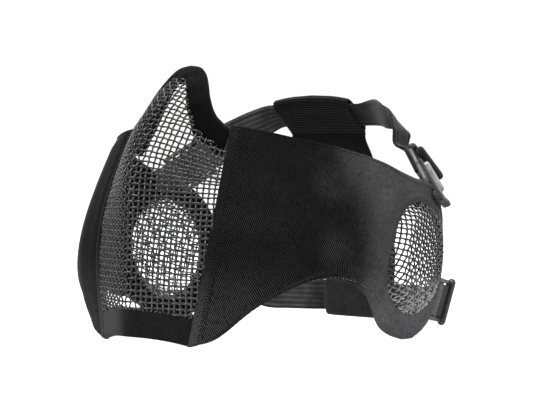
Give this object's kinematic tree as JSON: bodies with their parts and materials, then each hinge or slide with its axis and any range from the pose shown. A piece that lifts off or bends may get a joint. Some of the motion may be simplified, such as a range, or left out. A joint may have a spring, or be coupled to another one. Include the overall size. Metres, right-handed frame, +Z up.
{
  "type": "mesh lower face mask",
  "caption": "Lower face mask with a pointed wire mesh front, padded cloth cheeks ending in mesh ear cups, and a buckled elastic head harness.",
  "frame": {"origin": "middle of the model's footprint, on the surface that the chin corners and the ear cups stand on", "axes": "+Z up; the front of the mask looks towards -Y and the wearer's left ear towards +X"},
  "size_m": [0.2078, 0.2, 0.145],
  "materials": {
    "woven_cloth": "matte padded weave",
    "knit_trim": "matte fine rib",
    "elastic": "matte ribbed",
    "webbing": "matte ribbed",
    "coated_wire": "satin",
    "buckle_plastic": "satin"
  },
  "bodies": {
    "root": {"back_band": "elastic", "cheek_left": "woven_cloth", "cheek_right": "woven_cloth", "chin_binding": "woven_cloth", "ear_mesh_left": "coated_wire", "ear_mesh_right": "coated_wire", "front_hem_left": "woven_cloth", "front_hem_right": "woven_cloth", "front_mesh": "coated_wire", "lower_buckle_left": "buckle_plastic", "lower_buckle_right": "buckle_plastic", "lower_strap": "elastic", "lower_tab_left": "webbing", "lower_tab_right": "webbing", "nose_trim": "knit_trim", "upper_buckle_left": "buckle_plastic", "upper_buckle_right": "buckle_plastic", "upper_strap": "elastic", "upper_tab_left": "webbing", "upper_tab_right": "webbing"}
  },
  "joints": []
}
